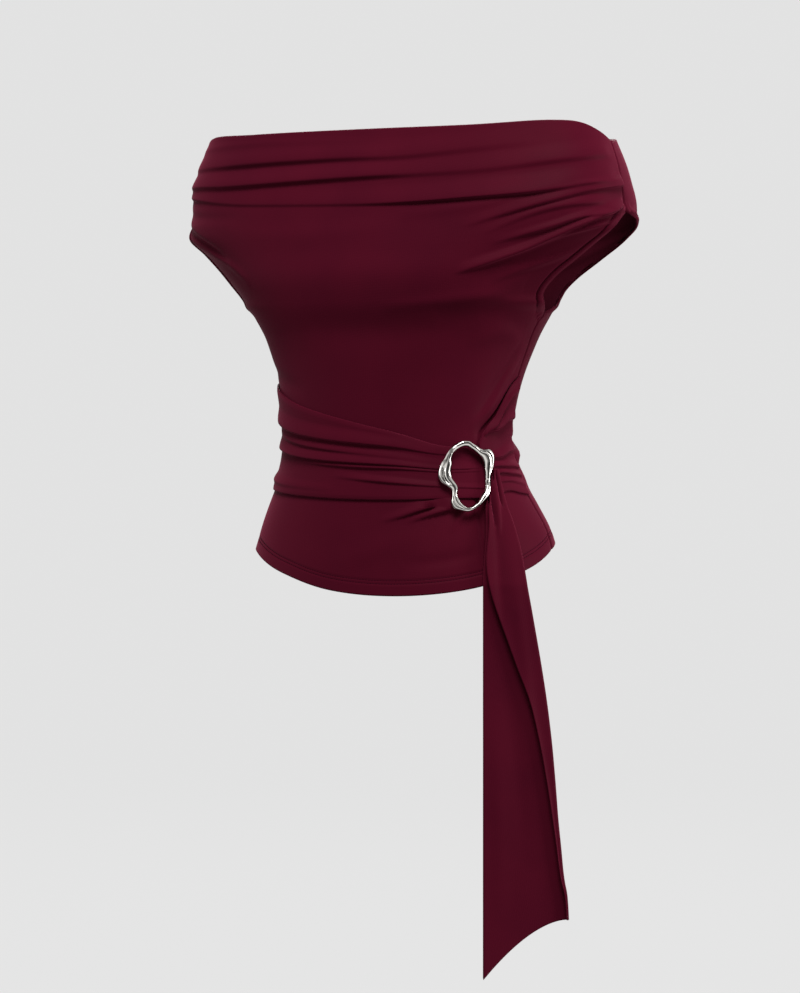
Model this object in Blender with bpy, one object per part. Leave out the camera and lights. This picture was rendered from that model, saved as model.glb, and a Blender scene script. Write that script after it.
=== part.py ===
"""Off-the-shoulder top with a pleated neckline, a waist sash, a ring buckle and a hanging tail.

Units are metres and +Z is up. The front faces -Y and the wearer's left is +X.
The origin lies midway between the wearer's upper arms, level with the middle of the shoulder seams.
"""
import math
from collections import namedtuple

import bpy
import numpy as np

OBJECT_NAME = "off_shoulder_top"

# Cloth walls and the clearances between pieces
WALL = 0.0018
TAIL_WALL = 0.0014
SEAM_GAP = 0.0003
SEAM_ACROSS = 0.93
NORMAL_STEP = 0.004
LAYER_GAP = 0.0007

# Colours are linear.
JERSEY_COLOUR = (0.080, 0.006, 0.016)
JERSEY_ROUGHNESS = 0.5
SILVER_COLOUR = (0.78, 0.76, 0.72)
SILVER_ROUGHNESS = 0.12

# Key heights
UNDERARM_Z = -0.140
SLEEVE_HEM_Z = -0.044
SHOULDER_TOP_Z = 0.024
HEM_SIDE_Z = -0.366

# Seams and armhole edges: distance from the middle and place from front to back at each height.
# turn is the angle through which a panel has curved when it reaches that edge.
Edge = namedtuple("Edge", "z half_width y turn")
SIDE_SEAM = [
    Edge(-0.420, 0.1640, 0.005, 90), Edge(-0.370, 0.1535, 0.002, 90), Edge(-0.349, 0.1480, 0.000, 90),
    Edge(-0.324, 0.1360, -0.005, 90), Edge(-0.305, 0.1265, -0.010, 90), Edge(-0.283, 0.1180, -0.013, 90),
    Edge(-0.262, 0.1150, -0.016, 90), Edge(-0.234, 0.1175, -0.018, 90), Edge(-0.198, 0.1250, -0.015, 90),
    Edge(-0.175, 0.1325, -0.013, 90), Edge(-0.157, 0.1390, -0.012, 90), Edge(UNDERARM_Z, 0.1490, -0.012, 90),
]
SHOULDER_SEAM = [
    Edge(SLEEVE_HEM_Z, 0.2285, 0.0, 90), Edge(-0.020, 0.2255, 0.0, 90), Edge(0.000, 0.2220, 0.0, 90),
    Edge(SHOULDER_TOP_Z, 0.2140, 0.0, 90), Edge(0.045, 0.2060, 0.0, 90),
]
ARMHOLE_FRONT = [
    SIDE_SEAM[-1], Edge(-0.132, 0.1570, -0.0300, 77), Edge(-0.124, 0.1590, -0.0375, 70),
    Edge(-0.108, 0.1720, -0.0400, 65), Edge(-0.092, 0.1895, -0.0330, 66), Edge(-0.076, 0.2080, -0.0275, 68),
    Edge(-0.060, 0.2265, -0.0235, 74), Edge(-0.050, 0.2290, -0.0120, 82), SHOULDER_SEAM[0],
]
ARMHOLE_BACK = [
    SIDE_SEAM[-1], Edge(-0.134, 0.1505, 0.010, 78), Edge(-0.125, 0.1485, 0.030, 68),
    Edge(-0.115, 0.1495, 0.043, 62), Edge(-0.105, 0.1580, 0.048, 61), Edge(-0.087, 0.1850, 0.045, 65),
    Edge(-0.068, 0.2130, 0.040, 69), Edge(-0.053, 0.2280, 0.031, 70), Edge(-0.047, 0.2300, 0.018, 77),
    SHOULDER_SEAM[0],
]

# The back panel is widest just behind the shoulder seam, so it turns on by a few degrees more there.
BackTurn = namedtuple("BackTurn", "z turn")
BACK_TURNS = [
    BackTurn(-0.100, 0), BackTurn(-0.075, 0), BackTurn(SLEEVE_HEM_Z, 13), BackTurn(-0.010, 8),
    BackTurn(SHOULDER_TOP_Z, 1),
]

# Centre front and centre back, and how square the section between the seams is (2 is an ellipse)
Profile = namedtuple("Profile", "z front_y back_y squareness")
PROFILE = [
    Profile(-0.420, -0.125, 0.084, 2.2), Profile(-0.370, -0.119, 0.080, 2.2),
    Profile(-0.324, -0.112, 0.068, 2.2), Profile(-0.283, -0.104, 0.054, 2.2),
    Profile(-0.234, -0.103, 0.050, 2.2), Profile(-0.198, -0.104, 0.060, 2.2),
    Profile(-0.160, -0.108, 0.077, 2.3), Profile(-0.130, -0.115, 0.089, 2.4),
    Profile(-0.105, -0.117, 0.096, 2.4), Profile(-0.080, -0.111, 0.098, 2.4),
    Profile(-0.044, -0.100, 0.0955, 2.5), Profile(0.000, -0.088, 0.090, 2.6),
    Profile(0.045, -0.076, 0.083, 2.6),
]

# Neckline and hem heights. across runs from -1 at the wearer's right seam to 1 at the left seam.
Border = namedtuple("Border", "across z")
FRONT_NECK = [
    Border(-1.00, 0.0240), Border(-0.85, 0.0315), Border(-0.70, 0.0375), Border(-0.40, 0.0372),
    Border(0.00, 0.0370), Border(0.30, 0.0373), Border(0.57, 0.0405), Border(0.68, 0.0398),
    Border(0.85, 0.0325), Border(1.00, 0.0240),
]
FRONT_HEM = [
    Border(-1.00, -0.3620), Border(-0.61, -0.3710), Border(-0.36, -0.3880), Border(-0.10, -0.4045),
    Border(0.17, -0.4095), Border(0.45, -0.4030), Border(0.71, -0.3870), Border(1.00, -0.3660),
]
BACK_NECK = [
    Border(-1.00, 0.0240), Border(-0.60, 0.0300), Border(0.00, 0.0310), Border(0.60, 0.0300),
    Border(1.00, 0.0240),
]
BACK_HEM = [
    Border(-1.00, -0.3620), Border(-0.75, -0.3570), Border(0.00, -0.3780), Border(0.75, -0.3580),
    Border(1.00, -0.3660),
]
# The hem's slope fades out up to this height.
HEM_FADE_Z = -0.295
# A panel's edge that has turned through this angle counts as a seam, and fully so at 90 degrees.
SEAM_TURN = 84

# Levels of the panels' rings: (top height, number of rings up to it), from the hem to the neckline.
# Both panels share those of the side seam, so that their edges stay parallel.
BODY_LEVELS = [(-0.316, 4), (-0.205, 8), (UNDERARM_Z, 4)]
FRONT_LEVELS = BODY_LEVELS + [(-0.124, 4), (-0.060, 8), (SLEEVE_HEM_Z, 3), (SHOULDER_TOP_Z, 16)]
BACK_LEVELS = BODY_LEVELS + [(-0.115, 5), (-0.053, 3), (SLEEVE_HEM_Z, 3), (SHOULDER_TOP_Z, 3)]
FRONT_COLUMNS = 38
BACK_COLUMNS = 20

# Pleats of the front: a crease runs through three points, the cloth stands proud above it by depth,
# fades over rise and falls back over drop. Points are (across, z).
Pleat = namedtuple("Pleat", "start middle end depth rise drop")
ACROSS_SPREAD = 0.25
PLEATS = [
    Pleat((-1.05, 0.0185), (-0.20, 0.0105), (0.50, 0.0225), 0.0050, 0.022, 0.005),
    Pleat((-1.05, 0.0000), (-0.20, -0.0080), (0.76, 0.0095), 0.0055, 0.018, 0.005),
    Pleat((-1.05, -0.0120), (-0.03, -0.0335), (0.78, -0.0105), 0.0050, 0.022, 0.006),
    Pleat((0.36, -0.0630), (0.60, -0.0310), (1.05, -0.0150), 0.0050, 0.016, 0.005),
    Pleat((0.47, -0.0660), (0.60, -0.0410), (0.82, -0.0370), 0.0030, 0.010, 0.005),
    Pleat((0.52, -0.0780), (0.70, -0.0560), (0.98, -0.0380), 0.0035, 0.012, 0.005),
    Pleat((0.50, -0.0985), (0.72, -0.0740), (0.95, -0.0455), 0.0055, 0.012, 0.006),
    Pleat((0.62, -0.0930), (0.76, -0.0705), (0.95, -0.0560), 0.0035, 0.009, 0.005),
    Pleat((0.66, -0.1120), (0.82, -0.0945), (0.95, -0.0780), 0.0030, 0.014, 0.007),
    Pleat((0.38, -0.1340), (0.60, -0.1260), (0.82, -0.1165), 0.0030, 0.020, 0.012),
    Pleat((-0.64, -0.0930), (-0.72, -0.0620), (-0.98, -0.0450), 0.0040, 0.016, 0.008),
    Pleat((-0.52, -0.0980), (-0.62, -0.0760), (-0.90, -0.0560), 0.0025, 0.014, 0.008),
]
PLEAT_TAPER = 0.22
PLEAT_STEPS = 18

# The sash: upper and lower edge of each part between its side seam and the ring
SashEdge = namedtuple("SashEdge", "across top bottom")
SASH_RIGHT = [
    SashEdge(-1.00, -0.2000, -0.3060), SashEdge(-0.72, -0.2100, -0.3083), SashEdge(-0.41, -0.2280, -0.3138),
    SashEdge(-0.07, -0.2443, -0.3182), SashEdge(0.20, -0.2562, -0.3190), SashEdge(0.43, -0.2680, -0.3175),
    SashEdge(0.66, -0.2690, -0.3170),
]
SASH_LEFT = [
    SashEdge(0.662, -0.2650, -0.3165), SashEdge(0.71, -0.2520, -0.3130), SashEdge(0.80, -0.2380, -0.3100),
    SashEdge(0.90, -0.2120, -0.3120), SashEdge(1.00, -0.2000, -0.3135),
]
# Ridges of the sash by their share of its height at the side seam and at the ring
Ridge = namedtuple("Ridge", "side ring depth")
RIGHT_RIDGES = [
    Ridge(0.16, 0.22, 0.0025), Ridge(0.40, 0.56, 0.0040), Ridge(0.56, 0.70, 0.0030),
    Ridge(0.74, 0.90, 0.0045),
]
LEFT_RIDGES = [
    Ridge(0.20, 0.16, 0.0030), Ridge(0.44, 0.40, 0.0035), Ridge(0.70, 0.66, 0.0040),
    Ridge(0.88, 0.84, 0.0040),
]
# A ridge's foot lies this far below its crest, but never more than a share of the sash's width,
# and the cloth is back down to half its height at a share of the way to the next ridge.
RIDGE_DROP = 0.005
RIDGE_DROP_SHARE = 0.06
RIDGE_BACK_SHARE = 0.45
SASH_EDGE_ROLL = 0.0020
SASH_EDGE_WIDTH = 0.004
# Under the ring the ridges are pressed down to a share of their height.
FLAT_SHARE = 0.35
FLAT_REACH = 0.14
FLAT_FADE = 0.25
RIGHT_COLUMNS = 26
LEFT_COLUMNS = 10

# The ring: its middle on the front, and its bar's distance from there and width by clock angle
RING_ACROSS = 0.541
RING_Z = -0.2966
# Change of across for a metre to the side, and for a metre straight up, each with its own change per metre
ASIDE_ACROSS = (5.45, 14.4)
UPRIGHT_ACROSS = (1.2, -10.0)
# The ring stands a little lower than it is wide for its clock table.
UPRIGHT_SHARE = 0.948
RING_LIFT = 0.0078
RING_HALF_DEPTH = 0.0030
Bar = namedtuple("Bar", "angle distance width")
RING_BARS = [
    Bar(0, 0.0327, 0.0066), Bar(20, 0.0288, 0.0064), Bar(38, 0.0292, 0.0116), Bar(50, 0.0290, 0.0142),
    Bar(62, 0.0256, 0.0118), Bar(80, 0.0211, 0.0068), Bar(100, 0.0196, 0.0052), Bar(120, 0.0214, 0.0056),
    Bar(145, 0.0248, 0.0057), Bar(165, 0.0300, 0.0050), Bar(180, 0.0332, 0.0050), Bar(192, 0.0308, 0.0076),
    Bar(203, 0.0278, 0.0104), Bar(215, 0.0212, 0.0090), Bar(230, 0.0174, 0.0074), Bar(250, 0.0194, 0.0106),
    Bar(270, 0.0226, 0.0134), Bar(290, 0.0240, 0.0124), Bar(308, 0.0256, 0.0098), Bar(325, 0.0298, 0.0062),
    Bar(343, 0.0322, 0.0058), Bar(360, 0.0327, 0.0066),
]
RING_STEPS = 48
RING_SIDES = 10

# The tail: a band folded over at its right edge. right and flap are distances from its left edge.
Tail = namedtuple("Tail", "z left right flap")
TAIL_ROWS = [
    Tail(-0.7735, 0.0010, 0.0852, 0.0815), Tail(-0.7120, 0.0010, 0.0807, 0.0770),
    Tail(-0.6600, 0.0010, 0.0752, 0.0720), Tail(-0.6200, 0.0010, 0.0712, 0.0670),
    Tail(-0.5885, 0.0010, 0.0687, 0.0620), Tail(-0.5460, 0.0010, 0.0647, 0.0540),
    Tail(-0.5073, 0.0010, 0.0597, 0.0440), Tail(-0.4760, 0.0010, 0.0547, 0.0320),
    Tail(-0.4450, 0.0010, 0.0492, 0.0205), Tail(-0.4100, 0.0010, 0.0427, 0.0085),
    Tail(-0.3700, 0.0010, 0.0347, 0.0030), Tail(-0.3420, 0.0010, 0.0277, 0.0030),
    Tail(-0.3240, 0.0010, 0.0200, 0.0030), Tail(-0.3080, 0.0049, 0.0184, 0.0096),
    Tail(-0.2900, 0.0076, 0.0164, 0.0120),
]
# Rings of the tail: (lowest, highest, number of rings), below and above the hem
TAIL_RINGS = [(-0.7735, -0.430, 12), (-0.405, -0.2900, 9)]
# The band lies over the front from its top down to the hem and hangs straight below that.
Root = namedtuple("Root", "z across clear")
TAIL_ROOT = [
    Root(-0.400, 0.505, 0.0035), Root(-0.385, 0.515, 0.0036), Root(-0.324, 0.590, 0.0052),
    Root(-0.290, 0.655, 0.0056),
]
TAIL_CORNER_RISE = 0.056
TAIL_SLANT_Z = -0.660
TAIL_SLANT_POWER = 1.7
TAIL_FOLD_GAP = 0.0032


def smooth_step(value):
    value = np.clip(value, 0.0, 1.0)
    return value * value * (3.0 - 2.0 * value)


def read_table(rows, column, at):
    """Values of one column on a smooth curve through the rows, whose first column is the key."""
    keys = np.array([row[0] for row in rows], dtype=float)
    values = np.array([getattr(row, column) for row in rows], dtype=float)
    slopes = np.gradient(values, keys)
    at = np.clip(at, keys[0], keys[-1])
    low = np.clip(np.searchsorted(keys, at, side="right") - 1, 0, len(keys) - 2)
    span = keys[low + 1] - keys[low]
    t = (at - keys[low]) / span
    return ((2 * t**3 - 3 * t**2 + 1) * values[low] + (t**3 - 2 * t**2 + t) * slopes[low] * span
            + (3 * t**2 - 2 * t**3) * values[low + 1] + (t**3 - t**2) * slopes[low + 1] * span)


def edge_value(column, z, armhole):
    """The panel's side edge at height z: side seam, armhole or shoulder seam."""
    side = read_table(SIDE_SEAM, column, z)
    opening = read_table(armhole, column, z)
    shoulder = read_table(SHOULDER_SEAM, column, z)
    return np.where(z <= UNDERARM_Z + 1e-9, side, np.where(z < SLEEVE_HEM_Z - 1e-9, opening, shoulder))


def arc_unit(angle, power):
    radius = (np.abs(np.sin(angle))**power + np.abs(np.cos(angle))**power)**(1.0 / power)
    return np.sin(angle) / radius, np.cos(angle) / radius


def panel_base(across, z, front):
    """Points of the smooth panel, without its pleats, as an array with x, y, z last."""
    across, z = np.broadcast_arrays(np.asarray(across, dtype=float), np.asarray(z, dtype=float))
    armhole = ARMHOLE_FRONT if front else ARMHOLE_BACK
    half_width = edge_value("half_width", z, armhole)
    edge_y = edge_value("y", z, armhole) + (-SEAM_GAP / 2 if front else SEAM_GAP / 2)
    limit = np.radians(edge_value("turn", z, armhole))
    if not front:
        limit = limit + np.radians(read_table(BACK_TURNS, "turn", z))
    power = read_table(PROFILE, "squareness", z)
    centre_y = read_table(PROFILE, "front_y" if front else "back_y", z)
    side, ahead = arc_unit(across * limit, power)
    side_edge, ahead_edge = arc_unit(limit, power)
    share = (ahead - ahead_edge) / (1.0 - ahead_edge)
    return np.stack([half_width * side / side_edge, edge_y + (centre_y - edge_y) * share, z], axis=-1)


def panel_outward(across, z, front):
    """Level unit vectors pointing out of the panel, straight sideways at its seams."""
    step = NORMAL_STEP
    beyond, before = np.clip(across + step, -1, 1), np.clip(across - step, -1, 1)
    along = panel_base(beyond, z, front) - panel_base(before, z, front)
    outward = np.stack([along[..., 1], -along[..., 0], np.zeros(along.shape[:-1])], axis=-1)
    outward /= np.linalg.norm(outward, axis=-1, keepdims=True)
    if not front:
        outward = -outward
    turn = edge_value("turn", z, ARMHOLE_FRONT if front else ARMHOLE_BACK)
    at_seam = smooth_step((np.abs(across) - SEAM_ACROSS) / (1.0 - SEAM_ACROSS))
    at_seam = at_seam * smooth_step((turn - SEAM_TURN) / (90 - SEAM_TURN))
    sideways = np.stack([np.sign(across + 0.0 * turn), 0.0 * turn, 0.0 * turn], axis=-1)
    outward = outward + (sideways - outward) * at_seam[..., None]
    return outward / np.linalg.norm(outward, axis=-1, keepdims=True)


def crease_points(pleat):
    """The crease of a pleat as points (across distance, z) on a curve through its three points."""
    t = np.linspace(0.0, 1.0, PLEAT_STEPS)[:, None]
    start, middle, end = (np.array([point[0] * ACROSS_SPREAD, point[1]]) for point in pleat[:3])
    return start * (1 - t) * (1 - 2 * t) + middle * 4 * t * (1 - t) + end * t * (2 * t - 1)


def pleat_height(pleat, across, z):
    """How far one pleat lifts the cloth at each point."""
    crease = crease_points(pleat)
    start, run = crease[:-1], np.diff(crease, axis=0)
    place = np.stack([across * ACROSS_SPREAD, z], axis=-1)[..., None, :]
    share = np.clip(((place - start) * run).sum(-1) / (run * run).sum(-1), 0.0, 1.0)
    away = place - (start + share[..., None] * run)
    distance = np.linalg.norm(away, axis=-1)
    nearest = distance.argmin(axis=-1)[..., None]
    side = np.sign(run[:, 0] * away[..., 1] - run[:, 1] * away[..., 0]) * np.sign(run[:, 0])
    signed = np.take_along_axis(distance * side, nearest, axis=-1)[..., 0]
    length = (nearest[..., 0] + np.take_along_axis(share, nearest, axis=-1)[..., 0]) / len(run)
    above = 0.5 + 0.5 * np.cos(np.pi * np.clip(signed / pleat.rise, 0.0, 1.0))
    below = smooth_step(1.0 + signed / pleat.drop)
    taper = smooth_step(length / PLEAT_TAPER) * smooth_step((1.0 - length) / PLEAT_TAPER)
    return pleat.depth * np.where(signed >= 0, above, below) * taper


def front_relief(across, z):
    return sum(pleat_height(pleat, across, z) for pleat in PLEATS)


def panel_places(levels, columns, hem, neck):
    """Rings of (across, z) from the hem to the neckline, straight in between."""
    heights = [HEM_SIDE_Z]
    for top, count in levels:
        heights += list(np.linspace(heights[-1], top, count + 1)[1:])
    across, level = np.meshgrid(np.linspace(-1.0, 1.0, columns + 1), heights)
    hem_share = smooth_step((HEM_FADE_Z - level) / (HEM_FADE_Z - HEM_SIDE_Z))
    neck_share = smooth_step((level - SLEEVE_HEM_Z) / (SHOULDER_TOP_Z - SLEEVE_HEM_Z))
    z = level + hem_share * (read_table(hem, "z", across) - HEM_SIDE_Z)
    z += neck_share * (read_table(neck, "z", across) - SHOULDER_TOP_Z)
    return across, z


def wall_mesh(name, outer, inner, material):
    """A closed wall between two grids of points, rows from bottom to top and columns to the wearer's left."""
    rows, columns = outer.shape[:2]
    count = rows * columns

    def number(row, column, side):
        return row * columns + column + side * count

    faces = []
    for row in range(rows - 1):
        for column in range(columns - 1):
            ring = [(row, column), (row, column + 1), (row + 1, column + 1), (row + 1, column)]
            faces.append([number(r, c, 0) for r, c in ring])
            faces.append([number(r, c, 1) for r, c in reversed(ring)])
    border = [(0, c) for c in range(columns)] + [(r, columns - 1) for r in range(1, rows)]
    border += [(rows - 1, c) for c in range(columns - 2, -1, -1)] + [(r, 0) for r in range(rows - 2, 0, -1)]
    for here, there in zip(border, border[1:] + border[:1]):
        faces.append([number(*there, 0), number(*here, 0), number(*here, 1), number(*there, 1)])
    mesh = bpy.data.meshes.new(name)
    mesh.from_pydata(np.concatenate([outer.reshape(-1, 3), inner.reshape(-1, 3)]).tolist(), [], faces)
    mesh.shade_smooth()
    mesh.materials.append(material)
    return add_object(name, mesh)


def add_object(name, data):
    part = bpy.data.objects.new(name, data)
    bpy.data.collections[OBJECT_NAME].objects.link(part)
    return part


def make_material(name, colour, roughness, metallic=0.0):
    material = bpy.data.materials.new(name)
    material.use_nodes = True
    shader = material.node_tree.nodes["Principled BSDF"]
    shader.inputs["Base Color"].default_value = (*colour, 1.0)
    shader.inputs["Roughness"].default_value = roughness
    shader.inputs["Metallic"].default_value = metallic
    return material


def make_front():
    across, z = panel_places(FRONT_LEVELS, FRONT_COLUMNS, FRONT_HEM, FRONT_NECK)
    outward = panel_outward(across, z, True)
    outer = panel_base(across, z, True) + outward * front_relief(across, z)[..., None]
    jersey = make_material("front_jersey", JERSEY_COLOUR, JERSEY_ROUGHNESS)
    return wall_mesh("front_panel", outer, outer - outward * WALL, jersey)


def make_back():
    across, z = panel_places(BACK_LEVELS, BACK_COLUMNS, BACK_HEM, BACK_NECK)
    outer = panel_base(across, z, False)[:, ::-1]
    outward = panel_outward(across, z, False)[:, ::-1]
    jersey = make_material("back_jersey", JERSEY_COLOUR, JERSEY_ROUGHNESS)
    return wall_mesh("back_panel", outer, outer - outward * WALL, jersey)


def sash_rings(across, edges, ridges, seam_share):
    """Rings of (z, height) along the sash: its lower edge, each ridge's foot, crest and back, and its top."""
    top, bottom = read_table(edges, "top", across), read_table(edges, "bottom", across)
    width = top - bottom
    rings = [(bottom, 0.0), (bottom + SASH_EDGE_WIDTH, SASH_EDGE_ROLL)]
    shares = [ridge.ring + (ridge.side - ridge.ring) * seam_share for ridge in ridges]
    for index, (ridge, share) in enumerate(zip(ridges, shares)):
        following = shares[index + 1] if index + 1 < len(shares) else 1.0
        crest = bottom + share * width
        foot = crest - np.minimum(RIDGE_DROP, RIDGE_DROP_SHARE * width)
        behind = crest + (following - share) * width * RIDGE_BACK_SHARE
        rings += [(foot, 0.0), (crest, ridge.depth), (behind, ridge.depth / 2)]
    rings.append((top, 0.0))
    z = np.stack([ring[0] for ring in rings])
    height = np.stack([np.broadcast_to(ring[1], across.shape) for ring in rings])
    return z, height


def make_sash(name, edges, ridges, columns, ring_end):
    """One part of the sash, laid over the front panel's own points and moved out."""
    across = np.linspace(edges[0].across, edges[-1].across, columns + 1)
    seam_share = np.abs(across - ring_end.across) / (edges[-1].across - edges[0].across)
    z, height = sash_rings(across, edges, ridges, seam_share)
    height = height * (FLAT_SHARE + (1.0 - FLAT_SHARE) * smooth_step((seam_share - FLAT_REACH) / FLAT_FADE))
    across = np.broadcast_to(across, z.shape)
    outward = panel_outward(across, z, True)
    inner = panel_base(across, z, True) + outward * (LAYER_GAP + height)[..., None]
    jersey = make_material(name + "_jersey", JERSEY_COLOUR, JERSEY_ROUGHNESS)
    return wall_mesh(name, inner + outward * WALL, inner, jersey)


def make_ring():
    """The ring lies on the sash and follows the round of the waist."""
    clock = np.linspace(0.0, 360.0, RING_STEPS, endpoint=False)[:, None]
    turn = np.radians(np.linspace(0.0, 360.0, RING_SIDES, endpoint=False))[None, :]
    half_width = read_table(RING_BARS, "width", clock) / 2
    distance = read_table(RING_BARS, "distance", clock) + half_width * np.cos(turn)
    aside, up = distance * np.sin(np.radians(clock)), distance * np.cos(np.radians(clock)) * UPRIGHT_SHARE
    across = RING_ACROSS + aside * (ASIDE_ACROSS[0] + ASIDE_ACROSS[1] * aside)
    across, z = across + up * (UPRIGHT_ACROSS[0] + UPRIGHT_ACROSS[1] * up), RING_Z + up
    lift = RING_LIFT + RING_HALF_DEPTH * np.sin(turn) + 0.0 * clock
    points = panel_base(across, z, True) + panel_outward(across, z, True) * lift[..., None]
    faces = []
    for step in range(RING_STEPS):
        for side in range(RING_SIDES):
            here, ahead = step * RING_SIDES, (step + 1) % RING_STEPS * RING_SIDES
            beside = (side + 1) % RING_SIDES
            faces.append([here + side, here + beside, ahead + beside, ahead + side])
    mesh = bpy.data.meshes.new("ring_buckle")
    mesh.from_pydata(points.reshape(-1, 3).tolist(), [], faces)
    mesh.shade_smooth()
    mesh.materials.append(make_material("ring_silver", SILVER_COLOUR, SILVER_ROUGHNESS, 1.0))
    return add_object("ring_buckle", mesh)


def tail_section(row):
    """Middle line of the folded band at one height, from its left edge round the fold to the flap."""
    back = [(row.left + (row.right - row.left) * share, 0.0) for share in np.linspace(0.0, 1.0, 9)]
    turn = [(row.right + TAIL_FOLD_GAP / 2 * math.sin(angle), TAIL_FOLD_GAP / 2 * (1 - math.cos(angle)))
            for angle in np.radians([45, 90, 135])]
    flap = [(row.right + (row.flap - row.right) * share, TAIL_FOLD_GAP) for share in np.linspace(0.0, 1.0, 6)]
    return np.array(back + turn + flap)


def make_tail():
    heights = np.concatenate([np.linspace(*rings) for rings in TAIL_RINGS])
    outer, inner = [], []
    for z in heights:
        row = Tail(z, *(read_table(TAIL_ROWS, column, z) for column in ("left", "right", "flap")))
        line = tail_section(row)
        along = np.gradient(line, axis=0)
        along /= np.linalg.norm(along, axis=1)[:, None]
        normal = np.stack([-along[:, 1], along[:, 0]], axis=1)
        rest_z = max(z, TAIL_ROOT[0].z)
        rest_across, clear = (read_table(TAIL_ROOT, column, rest_z) for column in ("across", "clear"))
        root = panel_base(rest_across, rest_z, True)
        outward = panel_outward(rest_across, rest_z, True)
        to_left = np.array([-outward[1], outward[0], 0.0])
        slant = TAIL_CORNER_RISE * smooth_step((TAIL_SLANT_Z - z) / (TAIL_SLANT_Z - TAIL_ROWS[0].z))
        for side, rows in ((1, outer), (-1, inner)):
            place = line + normal * side * TAIL_WALL / 2
            points = root + outward * (clear + place[:, 1:]) + to_left * place[:, :1]
            points[:, 2] = z + slant * (1.0 - (1.0 - np.clip(line[:, 0] / row.right, 0, 1))**TAIL_SLANT_POWER)
            rows.append(points)
    jersey = make_material("tail_jersey", JERSEY_COLOUR, JERSEY_ROUGHNESS)
    return wall_mesh("sash_tail", np.array(outer), np.array(inner), jersey)


def build_top():
    for old in list(bpy.data.objects):
        bpy.data.objects.remove(old, do_unlink=True)
    collection = bpy.data.collections.new(OBJECT_NAME)
    bpy.context.scene.collection.children.link(collection)
    make_front()
    make_back()
    make_sash("sash_right", SASH_RIGHT, RIGHT_RIDGES, RIGHT_COLUMNS, SASH_RIGHT[-1])
    make_sash("sash_left", SASH_LEFT, LEFT_RIDGES, LEFT_COLUMNS, SASH_LEFT[0])
    make_ring()
    make_tail()


build_top()
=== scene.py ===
"""Off-the-shoulder top in burgundy jersey, worn with no wearer, in a pale studio.

Units are metres and +Z is up. The front faces -Y and the wearer's left is +X.
The cloth pieces are thin shells on the forms of the CAD nodes that they stand for.
"""
import math
from collections import namedtuple

import bpy
import numpy as np
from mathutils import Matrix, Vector


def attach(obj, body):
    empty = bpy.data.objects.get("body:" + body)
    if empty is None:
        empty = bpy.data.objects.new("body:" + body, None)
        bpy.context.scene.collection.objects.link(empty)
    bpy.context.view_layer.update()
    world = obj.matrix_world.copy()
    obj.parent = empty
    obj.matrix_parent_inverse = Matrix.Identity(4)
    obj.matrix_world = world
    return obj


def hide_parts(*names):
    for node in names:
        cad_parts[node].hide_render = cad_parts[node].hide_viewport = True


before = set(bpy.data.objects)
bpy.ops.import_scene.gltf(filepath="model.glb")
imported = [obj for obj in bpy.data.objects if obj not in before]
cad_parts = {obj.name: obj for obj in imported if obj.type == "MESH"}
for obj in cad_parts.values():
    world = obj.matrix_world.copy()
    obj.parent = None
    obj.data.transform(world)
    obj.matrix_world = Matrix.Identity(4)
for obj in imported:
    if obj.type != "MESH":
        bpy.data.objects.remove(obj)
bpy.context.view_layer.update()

# Cloth
SHELL = 0.0012
TAIL_SHELL = 0.0009
LAYER_GAP = 0.001
SEAM_ACROSS = 0.93
# Away from its side edges the panel evens out bends of the edge over this reach up and down
SOFT_MIDDLE = 0.4
EVEN_REACH = 0.02
EVEN_STEPS = (-1.0, -0.6, -0.2, 0.2, 0.6, 1.0)

# Key heights
UNDERARM_Z = -0.14
SLEEVE_HEM_Z = -0.044
SHOULDER_TOP_Z = 0.024
HEM_SIDE_Z = -0.366

# Seams and armhole edges, as in the frame: distance from the middle and place from front to back
Edge = namedtuple("Edge", "z half_width y turn")
SIDE_SEAM = [
    Edge(-0.42, 0.164, 0.005, 90), Edge(-0.37, 0.1535, 0.002, 90), Edge(-0.349, 0.148, 0.0, 90),
    Edge(-0.324, 0.136, -0.005, 90), Edge(-0.305, 0.1265, -0.01, 90), Edge(-0.283, 0.118, -0.013, 90),
    Edge(-0.262, 0.115, -0.016, 90), Edge(-0.234, 0.1175, -0.018, 90), Edge(-0.198, 0.125, -0.015, 90),
    Edge(-0.175, 0.1325, -0.013, 90), Edge(-0.157, 0.139, -0.012, 90), Edge(UNDERARM_Z, 0.149, -0.012, 90),
]
SHOULDER_SEAM = [
    Edge(SLEEVE_HEM_Z, 0.2285, 0.0, 90), Edge(-0.02, 0.2255, 0.0, 90), Edge(0.0, 0.222, 0.0, 90),
    Edge(SHOULDER_TOP_Z, 0.214, 0.0, 90), Edge(0.045, 0.206, 0.0, 90),
]
ARMHOLE_FRONT = [
    SIDE_SEAM[-1], Edge(-0.132, 0.157, -0.03, 77), Edge(-0.124, 0.159, -0.0375, 70),
    Edge(-0.108, 0.172, -0.04, 65), Edge(-0.092, 0.1895, -0.033, 66), Edge(-0.076, 0.208, -0.0275, 68),
    Edge(-0.06, 0.2265, -0.0235, 74), Edge(-0.05, 0.229, -0.012, 82), SHOULDER_SEAM[0],
]
ARMHOLE_BACK = [
    SIDE_SEAM[-1], Edge(-0.134, 0.1505, 0.01, 78), Edge(-0.125, 0.1485, 0.03, 68),
    Edge(-0.115, 0.1495, 0.043, 62), Edge(-0.105, 0.158, 0.048, 61), Edge(-0.087, 0.185, 0.045, 65),
    Edge(-0.068, 0.213, 0.04, 69), Edge(-0.053, 0.228, 0.031, 70), Edge(-0.047, 0.23, 0.018, 77),
    SHOULDER_SEAM[0],
]
BackTurn = namedtuple("BackTurn", "z turn")
BACK_TURNS = [
    BackTurn(-0.1, 0), BackTurn(-0.075, 0), BackTurn(SLEEVE_HEM_Z, 13), BackTurn(-0.01, 8),
    BackTurn(SHOULDER_TOP_Z, 1),
]
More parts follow.
